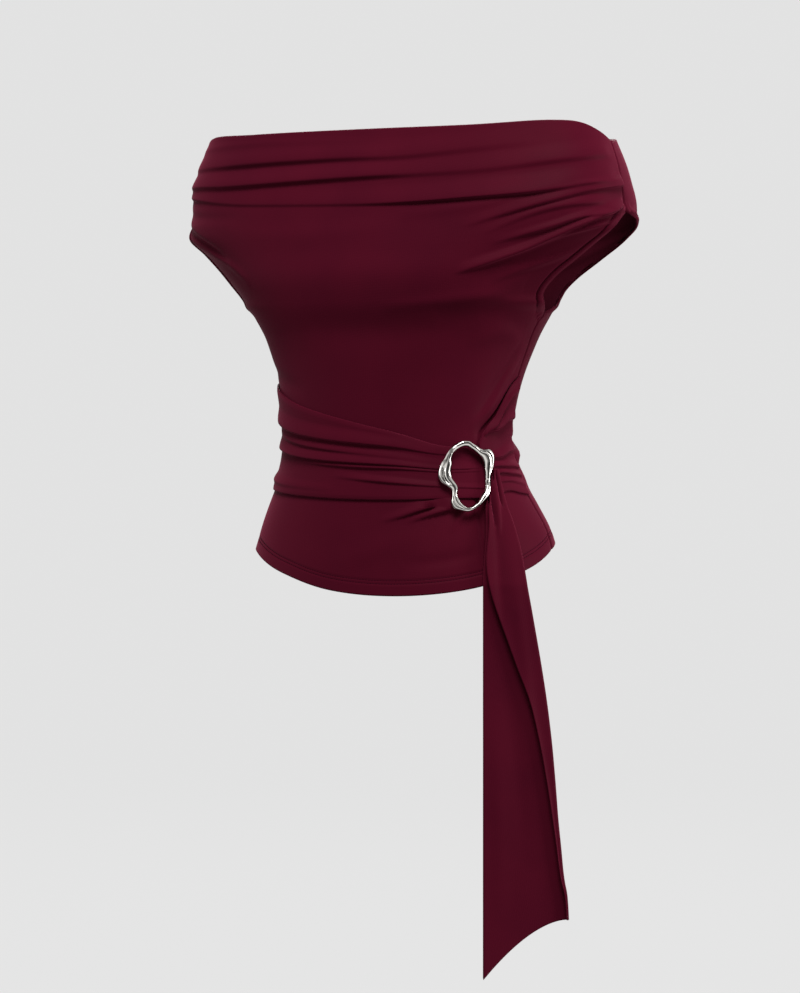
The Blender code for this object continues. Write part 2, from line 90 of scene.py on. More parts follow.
Profile = namedtuple("Profile", "z front_y back_y squareness")
PROFILE = [
    Profile(-0.42, -0.125, 0.084, 2.2), Profile(-0.37, -0.119, 0.08, 2.2),
    Profile(-0.324, -0.112, 0.068, 2.2), Profile(-0.283, -0.104, 0.054, 2.2),
    Profile(-0.234, -0.103, 0.05, 2.2), Profile(-0.198, -0.104, 0.06, 2.2),
    Profile(-0.16, -0.108, 0.077, 2.3), Profile(-0.13, -0.115, 0.089, 2.4),
    Profile(-0.105, -0.117, 0.096, 2.4), Profile(-0.08, -0.111, 0.098, 2.4),
    Profile(-0.044, -0.1, 0.0955, 2.5), Profile(0.0, -0.088, 0.09, 2.6),
    Profile(0.045, -0.076, 0.083, 2.6),
]

# Neckline and hem heights. across runs from -1 at the wearer's right seam to 1 at the left seam.
Border = namedtuple("Border", "across z")
FRONT_NECK = [
    Border(-1.0, 0.024), Border(-0.85, 0.0315), Border(-0.7, 0.0375), Border(-0.4, 0.0372),
    Border(0.0, 0.037), Border(0.3, 0.0373), Border(0.57, 0.0405), Border(0.68, 0.0398),
    Border(0.85, 0.0325), Border(1.0, 0.024),
]
FRONT_HEM = [
    Border(-1.0, -0.362), Border(-0.61, -0.371), Border(-0.36, -0.388), Border(-0.1, -0.4045),
    Border(0.17, -0.4095), Border(0.45, -0.403), Border(0.71, -0.387), Border(1.0, -0.366),
]
BACK_NECK = [
    Border(-1.0, 0.024), Border(-0.6, 0.03), Border(0.0, 0.031), Border(0.6, 0.03),
    Border(1.0, 0.024),
]
BACK_HEM = [
    Border(-1.0, -0.362), Border(-0.75, -0.357), Border(0.0, -0.378), Border(0.75, -0.358),
    Border(1.0, -0.366),
]
HEM_FADE_Z = -0.295

# Rings of the shells: how many there are up to each height, from the hem to the neckline
Level = namedtuple("Level", "top rings")
FRONT_LEVELS = [
    Level(-0.348, 26), Level(-0.316, 30), Level(-0.205, 32), Level(UNDERARM_Z, 24), Level(-0.06, 58),
    Level(SLEEVE_HEM_Z, 16), Level(SHOULDER_TOP_Z, 82),
]
BACK_LEVELS = [
    Level(-0.348, 22), Level(-0.316, 10), Level(-0.205, 28), Level(UNDERARM_Z, 18), Level(-0.06, 40),
    Level(SLEEVE_HEM_Z, 8), Level(SHOULDER_TOP_Z, 24),
]
# Columns of the shells: closer together within EDGE_ACROSS of a seam or armhole
EDGE_ACROSS = 0.06
EDGE_COLUMNS = 19
FRONT_COLUMNS = 138
BACK_COLUMNS = 104

# Pleats of the front. A crease runs through the points (across, z, strength); the cloth stands proud above
# it by depth, fades over rise, falls back over drop, and its lip hangs over the crease by lap.
Pleat = namedtuple("Pleat", "points depth rise drop lap")
ACROSS_SPREAD = 0.25
PLEATS = [
    Pleat([(-1.02, 0.009, 0.3), (-0.6, 0.0094, 0.6), (-0.4, 0.0102, 1.0), (-0.1, 0.0116, 0.9),
           (0.1, 0.0112, 0.6), (0.31, 0.0168, 0.3), (0.52, 0.0228, 0.0)], 0.004, 0.018, 0.0074, 0.001),
    Pleat([(-1.02, -0.005, 0.4), (-0.62, -0.0086, 0.8), (-0.4, -0.0108, 1.0), (-0.01, -0.0072, 0.9),
           (0.14, -0.0068, 0.5), (0.34, -0.004, 0.35), (0.62, 0.0058, 0.5), (0.94, 0.012, 0.2)],
          0.0044, 0.016, 0.0066, 0.0012),
    Pleat([(-1.02, -0.012, 0.5), (-0.64, -0.0215, 0.45), (-0.39, -0.0302, 0.35), (-0.05, -0.0342, 0.4),
           (0.14, -0.0335, 0.8), (0.3, -0.0305, 1.0), (0.48, -0.0262, 1.0), (0.64, -0.019, 0.6),
           (0.94, -0.007, 0.2)], 0.0048, 0.018, 0.005, 0.002),
    Pleat([(0.34, -0.062, 0.0), (0.44, -0.048, 0.5), (0.55, -0.0355, 0.8), (0.71, -0.0245, 0.7),
           (1.03, -0.0165, 1.0)], 0.0042, 0.013, 0.0042, 0.0016),
    Pleat([(0.43, -0.07, 0.0), (0.53, -0.0485, 0.8), (0.645, -0.039, 1.0), (0.86, -0.037, 0.0)],
          0.0022, 0.009, 0.005, 0.0004),
    Pleat([(0.5, -0.078, 0.0), (0.64, -0.0635, 0.8), (0.75, -0.0495, 1.0), (0.98, -0.037, 0.6)],
          0.0034, 0.01, 0.004, 0.0012),
    Pleat([(0.44, -0.106, 0.0), (0.56, -0.095, 0.7), (0.66, -0.083, 1.0), (0.73, -0.069, 1.0),
           (0.83, -0.049, 1.0), (0.98, -0.041, 0.7)], 0.0056, 0.012, 0.0046, 0.0026),
    Pleat([(0.64, -0.092, 0.0), (0.75, -0.0715, 0.9), (0.82, -0.064, 1.0), (0.97, -0.054, 0.5)],
          0.0032, 0.008, 0.0042, 0.001),
    Pleat([(0.62, -0.113, 0.0), (0.76, -0.101, 0.8), (0.86, -0.092, 0.9), (0.95, -0.082, 0.0)],
          0.0026, 0.012, 0.007, 0.0),
    Pleat([(0.34, -0.136, 0.0), (0.6, -0.1265, 1.0), (0.84, -0.116, 0.2)], 0.0022, 0.02, 0.012, 0.0),
    Pleat([(0.47, -0.3185, 1.0), (0.405, -0.3205, 1.0), (0.315, -0.325, 0.8), (0.195, -0.334, 0.4),
           (0.1, -0.34, 0.0)], 0.0052, 0.006, 0.003, 0.003),
    Pleat([(0.47, -0.3225, 1.0), (0.4, -0.327, 0.9), (0.31, -0.333, 0.6), (0.22, -0.341, 0.0)],
          0.0046, 0.0052, 0.003, 0.0026),
    Pleat([(0.485, -0.328, 1.0), (0.44, -0.339, 0.5), (0.4, -0.352, 0.0)],
          0.0034, 0.005, 0.0036, 0.001),
]
CREASE_STEPS = 34
PLEAT_END = 0.05
PLEAT_REACH = 1.2
LAP_POWER = 1.5

# Soft troughs and ridges: a line through the points, how far it lifts the cloth, and its half width
Drape = namedtuple("Drape", "points lift spread")
DRAPE_REACH = 3.0
DRAPE_END_POWER = 0.8
FRONT_DRAPES = [
    Drape([(-0.95, 0.024), (-0.5, 0.028), (0.1, 0.026)], 0.001, 0.004),
    Drape([(-0.9, -0.03), (-0.7, -0.04), (-0.4, -0.046)], -0.0014, 0.006),
    Drape([(0.62, -0.019), (0.8, -0.0165), (1.02, -0.011)], 0.0012, 0.0022),
    Drape([(0.1, -0.048), (0.3, -0.042), (0.5, -0.03)], 0.001, 0.006),
    Drape([(-0.98, -0.047), (-0.78, -0.062), (-0.68, -0.088)], -0.0034, 0.007),
    Drape([(-0.96, -0.066), (-0.74, -0.082), (-0.62, -0.11)], 0.0022, 0.0075),
    Drape([(-0.55, -0.06), (-0.2, -0.064), (0.15, -0.058)], 0.001, 0.01),
    Drape([(-0.3, -0.152), (0.1, -0.158), (0.55, -0.15)], -0.0022, 0.018),
    Drape([(0.1, -0.136), (0.4, -0.131), (0.74, -0.124)], 0.0012, 0.006),
    Drape([(0.35, -0.15), (0.6, -0.142), (0.88, -0.15)], -0.0018, 0.01),
    Drape([(0.5, -0.168), (0.72, -0.16), (0.92, -0.17)], 0.0014, 0.008),
    Drape([(0.62, -0.25), (0.78, -0.205), (0.9, -0.165)], -0.002, 0.008),
    Drape([(0.7, -0.24), (0.84, -0.205), (0.93, -0.18)], 0.0016, 0.006),
    Drape([(-0.94, -0.186), (-0.7, -0.196), (-0.35, -0.214)], -0.0012, 0.007),
    Drape([(0.64, -0.26), (0.72, -0.249), (0.83, -0.233), (0.97, -0.203)], -0.0036, 0.003),
    Drape([(0.6, -0.25), (0.74, -0.233), (0.88, -0.208)], 0.0016, 0.004),
    Drape([(0.2, -0.381), (0.38, -0.376), (0.52, -0.368)], -0.0012, 0.006),
    Drape([(0.59, -0.306), (0.555, -0.345), (0.535, -0.392)], -0.005, 0.005),
    Drape([(-0.8, -0.33), (-0.74, -0.345), (-0.7, -0.365)], -0.0012, 0.012),
    Drape([(0.3, -0.35), (0.1, -0.366), (-0.1, -0.38)], 0.0012, 0.012),
]
BACK_DRAPES = [
    Drape([(-0.99, 0.006), (-0.6, 0.0), (-0.15, 0.003)], 0.0022, 0.006),
    Drape([(-0.99, -0.012), (-0.55, -0.018), (0.05, -0.014)], -0.002, 0.006),
    Drape([(0.7, 0.008), (0.44, 0.002), (0.16, 0.006)], 0.0018, 0.006),
    Drape([(0.68, -0.01), (0.4, -0.017), (0.0, -0.022)], -0.002, 0.007),
    Drape([(0.95, -0.052), (0.7, -0.066), (0.4, -0.078)], 0.0022, 0.008),
    Drape([(0.93, -0.066), (0.66, -0.088), (0.36, -0.104)], -0.0022, 0.008),
    Drape([(-0.96, -0.05), (-0.66, -0.07), (-0.42, -0.074)], -0.0022, 0.008),
    Drape([(-0.92, -0.07), (-0.68, -0.092), (-0.44, -0.1)], 0.002, 0.009),
    Drape([(-0.92, -0.206), (-0.4, -0.222), (0.2, -0.218)], -0.003, 0.008),
    Drape([(-0.7, -0.232), (0.0, -0.24), (0.62, -0.23)], 0.0028, 0.007),
    Drape([(-0.3, -0.252), (0.3, -0.256), (0.94, -0.24)], -0.0032, 0.008),
    Drape([(-0.96, -0.262), (-0.5, -0.272), (0.02, -0.27)], 0.0022, 0.008),
    Drape([(0.97, -0.296), (0.9, -0.302), (0.8, -0.312)], -0.0012, 0.005),
    Drape([(1.0, -0.281), (0.84, -0.275), (0.62, -0.267)], 0.0044, 0.006),
    Drape([(1.0, -0.2665), (0.86, -0.2625), (0.66, -0.2565)], -0.003, 0.004),
    Drape([(0.96, -0.286), (0.7, -0.3), (0.44, -0.304)], 0.0016, 0.008),
    Drape([(-0.62, -0.3), (-0.56, -0.33), (-0.54, -0.366)], 0.0022, 0.016),
    Drape([(0.3, -0.31), (0.34, -0.34), (0.36, -0.372)], -0.0022, 0.018),
]

# The sash: upper and lower edge of each part between its side seam and the ring
SashEdge = namedtuple("SashEdge", "across top bottom")
SASH_RIGHT = [
    SashEdge(-1.0, -0.2, -0.306), SashEdge(-0.72, -0.21, -0.3083), SashEdge(-0.41, -0.228, -0.3138),
    SashEdge(-0.07, -0.2443, -0.3182), SashEdge(0.2, -0.2562, -0.319), SashEdge(0.43, -0.268, -0.3175),
    SashEdge(0.66, -0.269, -0.317),
]
SASH_LEFT = [
    SashEdge(0.662, -0.265, -0.3165), SashEdge(0.71, -0.252, -0.313), SashEdge(0.8, -0.238, -0.31),
    SashEdge(0.9, -0.212, -0.312), SashEdge(1.0, -0.2, -0.3135),
]
# Folds of the sash as pleats over (share along from the side seam or ring, share of its height, strength)
SASH_RIGHT_FOLDS = [
    Pleat([(-0.05, 0.7, 0.5), (0.2, 0.69, 0.9), (0.45, 0.735, 1.0), (0.65, 0.8, 0.9),
           (0.95, 0.9, 0.5)], 0.0036, 0.14, 0.06, 0.03),
    Pleat([(0.14, 0.56, 0.0), (0.4, 0.59, 1.0), (0.65, 0.64, 0.7), (0.95, 0.7, 0.3)],
          0.0026, 0.08, 0.05, 0.014),
    Pleat([(-0.05, 0.42, 0.4), (0.2, 0.44, 0.8), (0.45, 0.48, 1.0), (0.68, 0.545, 1.0),
           (1.0, 0.62, 0.8)], 0.0038, 0.11, 0.052, 0.032),
    Pleat([(0.3, 0.37, 0.0), (0.55, 0.43, 0.9), (0.75, 0.49, 1.0), (1.0, 0.55, 0.6)],
          0.0024, 0.05, 0.04, 0.012),
    Pleat([(0.5, 0.29, 0.0), (0.72, 0.27, 1.0), (1.0, 0.205, 0.9)], 0.0028, 0.08, 0.055, 0.014),
    Pleat([(-0.05, 0.15, 0.5), (0.2, 0.11, 1.0), (0.55, 0.12, 0.0)], 0.002, 0.08, 0.06, 0.004),
]
SASH_LEFT_FOLDS = [
    Pleat([(1.05, 0.9, 0.8), (0.75, 0.905, 1.0), (0.4, 0.93, 1.0), (0.1, 0.96, 0.8)],
          0.003, 0.05, 0.034, 0.014),
    Pleat([(1.05, 0.66, 0.7), (0.6, 0.74, 1.0), (0.38, 0.86, 1.0), (0.1, 0.98, 0.6)],
          0.004, 0.11, 0.055, 0.026),
    Pleat([(1.05, 0.385, 0.4), (0.6, 0.42, 0.9), (0.33, 0.49, 1.0), (0.05, 0.57, 0.8)],
          0.003, 0.09, 0.05, 0.018),
    Pleat([(1.05, 0.235, 0.6), (0.6, 0.29, 1.0), (0.33, 0.37, 1.0), (0.05, 0.43, 0.8)],
          0.0032, 0.06, 0.04, 0.018),
    Pleat([(1.05, 0.165, 0.5), (0.6, 0.21, 1.0), (0.35, 0.27, 1.0), (0.05, 0.31, 0.8)],
          0.003, 0.05, 0.036, 0.016),
    Pleat([(1.05, 0.085, 0.4), (0.6, 0.12, 0.8), (0.05, 0.17, 0.6)], 0.002, 0.05, 0.036, 0.006),
]
SASH_EDGE_LIFT = 0.001
SASH_EDGE_SHARE = 0.06
# Its folds are pressed down to this share under the ring, and are whole from START + RUN along
SASH_PRESSED = 0.35
SASH_PRESSED_START = 0.14
SASH_PRESSED_RUN = 0.25
SASH_RIGHT_GRID = (190, 96)
SASH_LEFT_GRID = (60, 96)

# The ring: its middle on the front, how a clock face on it bends with the cloth, and its bar by clock angle
RING_ACROSS = 0.541
RING_Z = -0.2966
ASIDE_ACROSS = (5.45, 14.4)
UPRIGHT_ACROSS = (1.2, -10.0)
UPRIGHT_SHARE = 0.948
RING_LIFT = 0.0078
# Rows are clock angles; groove parts the bar lengthwise into two lobes
Bar = namedtuple("Bar", "angle distance width depth groove")
RING_BARS = [
    Bar(0, 0.0327, 0.0066, 0.0052, 0.0), Bar(15, 0.0294, 0.0062, 0.005, 0.0),
    Bar(30, 0.0279, 0.0074, 0.0056, 0.0004), Bar(40, 0.0296, 0.0126, 0.0072, 0.0012),
    Bar(50, 0.029, 0.0144, 0.0082, 0.0014), Bar(60, 0.0262, 0.0124, 0.0078, 0.0012),
    Bar(70, 0.0232, 0.0096, 0.0066, 0.0008), Bar(80, 0.0211, 0.0066, 0.0056, 0.0002),
    Bar(90, 0.0198, 0.0048, 0.0048, 0.0), Bar(105, 0.0196, 0.0047, 0.0046, 0.0),
    Bar(120, 0.0214, 0.0054, 0.005, 0.0), Bar(135, 0.0236, 0.0057, 0.0052, 0.0002),
    Bar(150, 0.0256, 0.0054, 0.005, 0.0), Bar(165, 0.03, 0.0042, 0.0044, 0.0),
    Bar(180, 0.0332, 0.0046, 0.0046, 0.0), Bar(190, 0.0314, 0.0068, 0.0056, 0.0006),
    Bar(200, 0.029, 0.0106, 0.007, 0.0014), Bar(208, 0.0256, 0.01, 0.007, 0.0012),
    Bar(217, 0.02, 0.0084, 0.0064, 0.0004), Bar(226, 0.0176, 0.007, 0.0058, 0.0),
    Bar(236, 0.0174, 0.0076, 0.006, 0.0), Bar(246, 0.0186, 0.0094, 0.0066, 0.0008),
    Bar(256, 0.0206, 0.0118, 0.0076, 0.0025), Bar(266, 0.0222, 0.0134, 0.0082, 0.003),
    Bar(276, 0.0231, 0.0136, 0.0082, 0.003), Bar(286, 0.0238, 0.0128, 0.0078, 0.0024),
    Bar(296, 0.0244, 0.012, 0.0074, 0.0014), Bar(306, 0.025, 0.0102, 0.0068, 0.0008),
    Bar(316, 0.0276, 0.0076, 0.0058, 0.0002), Bar(326, 0.03, 0.006, 0.0052, 0.0),
    Bar(340, 0.0318, 0.0056, 0.005, 0.0), Bar(352, 0.033, 0.006, 0.005, 0.0),
    Bar(360, 0.0327, 0.0066, 0.0052, 0.0),
]
GROOVE_PLACE = 0.22
GROOVE_WIDTH = 0.2
RING_STEPS = 300
RING_SIDES = 44

# The tail: a band folded over at its right edge. right and flap are distances from its left edge.
Tail = namedtuple("Tail", "z left right flap")
TAIL_ROWS = [
    Tail(-0.7735, 0.001, 0.0818, 0.0814), Tail(-0.712, 0.001, 0.079, 0.0776),
    Tail(-0.66, 0.001, 0.0752, 0.0726), Tail(-0.62, 0.001, 0.0712, 0.067),
    Tail(-0.5885, 0.001, 0.0687, 0.062), Tail(-0.546, 0.001, 0.0647, 0.054),
    Tail(-0.5073, 0.001, 0.0597, 0.044), Tail(-0.476, 0.001, 0.0547, 0.032),
    Tail(-0.445, 0.001, 0.0492, 0.0205), Tail(-0.41, 0.001, 0.0427, 0.008),
    Tail(-0.378, 0.001, 0.0363, 0.0014), Tail(-0.342, 0.001, 0.025, 0.0014),
    Tail(-0.324, 0.001, 0.019, 0.0016), Tail(-0.308, 0.0049, 0.0154, 0.0064),
    Tail(-0.29, 0.0076, 0.0112, 0.0086),
]
Root = namedtuple("Root", "z across clear")
TAIL_ROOT = [
    Root(-0.4, 0.505, 0.0035), Root(-0.385, 0.515, 0.0036), Root(-0.324, 0.59, 0.0052),
    Root(-0.29, 0.655, 0.0056),
]
TAIL_CORNER_RISE = 0.056
TAIL_SLANT_Z = -0.66
TAIL_SLANT_POWER = 1.7
TAIL_FOLD_GAP = 0.0036
TAIL_CURL = 0.0016
TAIL_RINGS = 280
TAIL_LAYER_POINTS = 34
TAIL_TURN_POINTS = 9
TAIL_TURN_ANGLES = (18, 162)
# Folds of the tail over (distance from its left edge, z)
TAIL_FOLDS = [
    Drape([(0.0096, -0.29), (0.0122, -0.304), (0.016, -0.327)], -0.006, 0.0013),
    Drape([(0.006, -0.296), (0.0056, -0.318), (0.0085, -0.346)], -0.006, 0.0017),
    Drape([(0.008, -0.3), (0.0105, -0.324), (0.0125, -0.356)], 0.0022, 0.002),
    Drape([(0.006, -0.33), (0.014, -0.38), (0.02, -0.45)], -0.0014, 0.005),
    Drape([(0.019, -0.33), (0.03, -0.4), (0.042, -0.49), (0.048, -0.56)], 0.0014, 0.007),
    Drape([(0.02, -0.46), (0.034, -0.56), (0.042, -0.68)], -0.0012, 0.009),
    Drape([(0.01, -0.52), (0.016, -0.62), (0.018, -0.74)], 0.001, 0.008),
]


def smooth_step(value):
    value = np.clip(value, 0.0, 1.0)
    return value * value * (3.0 - 2.0 * value)


def hermite(keys, values, at):
    """A smooth curve through values at keys, read at each place."""
    slopes = np.gradient(values, keys)
    at = np.clip(at, keys[0], keys[-1])
    low = np.clip(np.searchsorted(keys, at, side="right") - 1, 0, len(keys) - 2)
    span = keys[low + 1] - keys[low]
    t = (at - keys[low]) / span
    return ((2 * t**3 - 3 * t**2 + 1) * values[low] + (t**3 - 2 * t**2 + t) * slopes[low] * span
            + (3 * t**2 - 2 * t**3) * values[low + 1] + (t**3 - t**2) * slopes[low + 1] * span)


def read_table(rows, column, at):
    keys = np.array([row[0] for row in rows], dtype=float)
    return hermite(keys, np.array([getattr(row, column) for row in rows], dtype=float), at)


def edge_value(column, z, armhole):
    """The panel's side edge at height z: side seam, armhole or shoulder seam."""
    side = read_table(SIDE_SEAM, column, z)
    opening = read_table(armhole, column, z)
    shoulder = read_table(SHOULDER_SEAM, column, z)
    return np.where(z <= UNDERARM_Z + 1e-9, side, np.where(z < SLEEVE_HEM_Z - 1e-9, opening, shoulder))


def soft_edge_value(column, z, front, near_edge):
    """The side edge's value, evened out over nearby heights away from the edge itself."""
    armhole = ARMHOLE_FRONT if front else ARMHOLE_BACK
    exact = edge_value(column, z, armhole)
    even = sum(edge_value(column, z + EVEN_REACH * step, armhole) for step in EVEN_STEPS) / len(EVEN_STEPS)
    return even + (exact - even) * near_edge


def arc_unit(angle, power):
    radius = (np.abs(np.sin(angle))**power + np.abs(np.cos(angle))**power)**(1.0 / power)
    return np.sin(angle) / radius, np.cos(angle) / radius


def panel_base(across, z, front):
    """Points of the smooth panel, without its pleats, as an array with x, y, z last."""
    across, z = np.broadcast_arrays(np.asarray(across, dtype=float), np.asarray(z, dtype=float))
    near_edge = smooth_step((np.abs(across) - SOFT_MIDDLE) / (1.0 - SOFT_MIDDLE))
    half_width, edge_y, turn = (soft_edge_value(c, z, front, near_edge) for c in ("half_width", "y", "turn"))
    limit = np.radians(turn)
    if not front:
        limit = limit + np.radians(read_table(BACK_TURNS, "turn", z))
    power = read_table(PROFILE, "squareness", z)
    centre_y = read_table(PROFILE, "front_y" if front else "back_y", z)
    side, ahead = arc_unit(across * limit, power)
    side_edge, ahead_edge = arc_unit(limit, power)
    share = (ahead - ahead_edge) / (1.0 - ahead_edge)
    return np.stack([half_width * side / side_edge, edge_y + (centre_y - edge_y) * share, z], axis=-1)


NORMAL_STEP = 0.004
SEAM_TURN = 84
SEAM_TURN_RUN = 6


def panel_outward(across, z, front):
    """Level unit vectors pointing out of the panel, straight sideways at its seams."""
    before, after = (np.clip(across + step, -1, 1) for step in (-NORMAL_STEP, NORMAL_STEP))
    along = panel_base(after, z, front) - panel_base(before, z, front)
    outward = np.stack([along[..., 1], -along[..., 0], np.zeros(along.shape[:-1])], axis=-1)
    outward /= np.linalg.norm(outward, axis=-1, keepdims=True)
    if not front:
        outward = -outward
    turn = edge_value("turn", z, ARMHOLE_FRONT if front else ARMHOLE_BACK)
    at_seam = smooth_step((np.abs(across) - SEAM_ACROSS) / (1.0 - SEAM_ACROSS))
    at_seam = at_seam * smooth_step((turn - SEAM_TURN) / SEAM_TURN_RUN)
    sideways = np.stack([np.sign(across + 0.0 * turn), 0.0 * turn, 0.0 * turn], axis=-1)
    outward = outward + (sideways - outward) * at_seam[..., None]
    return outward / np.linalg.norm(outward, axis=-1, keepdims=True)


def curve_points(points, spread):
    """A smooth line through a few points, with the first coordinate stretched by spread."""
    points = np.array(points)
    keys = np.arange(len(points), dtype=float)
    at = np.linspace(0.0, keys[-1], CREASE_STEPS)
    line = np.stack([hermite(keys, points[:, column], at) for column in range(points.shape[1])], axis=-1)
    line[:, 0] *= spread
    return line


FAR_AWAY = 9.0


def from_line(line, first, second, reach):
    """Signed distance from a line and share along it, for the places closer than reach. Above is positive."""
    signed, length = np.full(first.shape, FAR_AWAY), np.zeros(first.shape)
    near = (first > line[:, 0].min() - reach) & (first < line[:, 0].max() + reach)
    near &= (second > line[:, 1].min() - reach) & (second < line[:, 1].max() + reach)
    start, run = line[:-1, :2], np.diff(line[:, :2], axis=0)
    place = np.stack([first[near], second[near]], axis=-1)[:, None, :]
    share = np.clip(((place - start) * run).sum(-1) / (run * run).sum(-1), 0.0, 1.0)
    away = place - (start + share[..., None] * run)
    distance = np.linalg.norm(away, axis=-1)
    nearest = distance.argmin(axis=-1)[:, None]
    side = np.sign(run[:, 0] * away[..., 1] - run[:, 1] * away[..., 0]) * np.sign(run[:, 0] + 1e-9)
    signed[near] = np.take_along_axis(distance * side, nearest, axis=-1)[:, 0]
    length[near] = (nearest[:, 0] + np.take_along_axis(share, nearest, axis=-1)[:, 0]) / len(run)
    return signed, length


def pleat_relief(pleats, first, second, spread):
    """How far pleats lift the cloth and how far they pull it down over their creases."""
    lift, lap = np.zeros(first.shape), np.zeros(first.shape)
    for pleat in pleats:
        line = curve_points(pleat.points, spread)
        signed, length = from_line(line, first * spread, second, max(pleat.rise, pleat.drop) * PLEAT_REACH)
        strength = np.interp(length, np.linspace(0.0, 1.0, len(line)), np.clip(line[:, 2], 0.0, 1.0))
        strength *= smooth_step(length / PLEAT_END) * smooth_step((1.0 - length) / PLEAT_END)
        above = 0.5 + 0.5 * np.cos(np.pi * np.clip(signed / pleat.rise, 0.0, 1.0))
        below = smooth_step(1.0 + signed / pleat.drop)
        lift += pleat.depth * strength * np.where(signed >= 0, above, below)
        lap += pleat.lap * strength * np.where(signed >= 0, above**LAP_POWER, below)
    return lift, lap


def drape_relief(drapes, first, second, spread):
    total = np.zeros(first.shape)
    for drape in drapes:
        line = curve_points(drape.points, spread)
        signed, length = from_line(line, first * spread, second, drape.spread * DRAPE_REACH)
        total += drape.lift * np.exp(-(signed / drape.spread)**2) * np.sin(np.pi * length)**DRAPE_END_POWER
    return total


def panel_places(levels, columns, hem, neck):
    """Rings of (across, z) from the hem to the neckline, straight in between."""
    heights = [HEM_SIDE_Z]
    for top, rings in levels:
        heights += list(np.linspace(heights[-1], top, rings + 1)[1:])
    side = np.linspace(1.0 - EDGE_ACROSS, 1.0, EDGE_COLUMNS + 1)
    middle = np.linspace(-side[0], side[0], columns + 1)[1:-1]
    across, level = np.meshgrid(np.concatenate([-side[::-1], middle, side]), heights)
    hem_share = smooth_step((HEM_FADE_Z - level) / (HEM_FADE_Z - HEM_SIDE_Z))
    neck_share = smooth_step((level - SLEEVE_HEM_Z) / (SHOULDER_TOP_Z - SLEEVE_HEM_Z))
    z = level + hem_share * (read_table(hem, "z", across) - HEM_SIDE_Z)
    z += neck_share * (read_table(neck, "z", across) - SHOULDER_TOP_Z)
    return across, z


def cross_normals(points):
    """Unit normals of a grid, rows going up and columns to the wearer's left as seen from outside."""
    normals = np.cross(np.gradient(points, axis=1), np.gradient(points, axis=0))
    return normals / np.maximum(np.linalg.norm(normals, axis=-1, keepdims=True), 1e-12)


def new_object(name, vertices, faces, material, uvs=None):
    mesh = bpy.data.meshes.new(name)
    mesh.from_pydata(vertices, [], faces)
    mesh.shade_smooth()
    mesh.materials.append(material)
    if uvs is not None:
        layer = mesh.uv_layers.new(name="cloth")
        corner = np.zeros(len(mesh.loops), dtype=np.int32)
        mesh.loops.foreach_get("vertex_index", corner)
        layer.data.foreach_set("uv", np.asarray(uvs, dtype=np.float32)[corner].ravel())
    piece = bpy.data.objects.new(name, mesh)
    bpy.context.scene.collection.objects.link(piece)
    return piece


def shell(name, outer, thickness, uv, material, inside_shade=0.0):
    """A thin closed shell under a grid of outer points, with a rounded rim. Its last argument sets how far
    painted shade darkens its inner side.
    """
    normals = cross_normals(outer)
    inner = outer - normals * np.broadcast_to(thickness, outer.shape[:2])[..., None]
    rows, columns = outer.shape[:2]
    count = rows * columns
    base = np.arange(count).reshape(rows, columns)
    quads = np.stack([base[:-1, :-1], base[:-1, 1:], base[1:, 1:], base[1:, :-1]], axis=-1).reshape(-1, 4)
    faces = np.concatenate([quads, quads[:, ::-1] + count])
    border = np.concatenate([base[0, :-1], base[:-1, -1], base[-1, :0:-1], base[:0:-1, 0]])
    flat_outer, flat_inner = outer.reshape(-1, 3), inner.reshape(-1, 3)
    middle = (flat_outer[border] + flat_inner[border]) / 2
    along = np.roll(flat_outer[border], -1, axis=0) - np.roll(flat_outer[border], 1, axis=0)
    away = np.cross(along, flat_outer[border] - flat_inner[border])
    away /= np.maximum(np.linalg.norm(away, axis=-1, keepdims=True), 1e-12)
    half = np.linalg.norm(flat_outer[border] - flat_inner[border], axis=-1, keepdims=True) / 2
    rim = 2 * count + np.arange(len(border))
    ahead, rim_ahead = np.roll(border, -1), np.roll(rim, -1)
    faces = np.concatenate([
        faces,
        np.stack([ahead, border, rim, rim_ahead], axis=-1),
        np.stack([rim_ahead, rim, border + count, ahead + count], axis=-1),
    ])
    vertices = np.concatenate([flat_outer, flat_inner, middle + away * half])
    flat_uv = uv.reshape(-1, 2)
    uvs = np.concatenate([flat_uv, flat_uv, flat_uv[border]])
    piece = new_object(name, vertices.tolist(), faces.tolist(), material, uvs)
    # Marks the inner side for painted shade in the jersey material
    painted_inside_shade = piece.data.attributes.new("painted_inside_shade", "FLOAT", "POINT")
    marks = np.repeat([0.0, inside_shade, 0.0], [count, count, len(border)])
    painted_inside_shade.data.foreach_set("value", marks.astype(np.float32))
    return piece


def grid_uv(points):
    """Cloth coordinates in metres: length along the rows and up the columns, counted from the middle."""
    along = np.cumsum(np.linalg.norm(np.diff(points, axis=1, prepend=points[:, :1]), axis=-1), axis=1)
    along -= along[:, along.shape[1] // 2][:, None]
    up = np.cumsum(np.linalg.norm(np.diff(points, axis=0, prepend=points[:1]), axis=-1), axis=0)
    return np.stack([along, up], axis=-1)


# The turned hems: the armhole band's width, how far and how roundly it stands proud, and the rows of stitches
ARM_BAND = 0.0075
ARM_BAND_LIFT = 0.0018
ARM_BAND_GROOVE = 0.0008
ARM_BAND_TOP = 0.85
ARM_BAND_POWER = 0.6
ARM_STITCH_STEP = 0.0004
ARM_FADE = 0.016
# Where armhole distances are worked out: samples of the edge, and how near a point has to be
ARM_SAMPLES = 90
ARM_ACROSS = 0.55
ARM_MARGIN = 0.02
HEM_ROWS = (0.0105, 0.0135)
ROW_GROOVE = 0.0006
ROW_WIDTH = 0.0009
SEAM_VALLEY = 0.0012
SEAM_VALLEY_SHARE = 0.009
SEAM_FADE = 0.05
# Cloth that is turned in lies double: its width at the hem and neckline, and what it adds to the shell
HEM_TURN = 0.016
NECK_TURN = 0.014
TURN_FADE = 0.001
DOUBLED = 0.0006


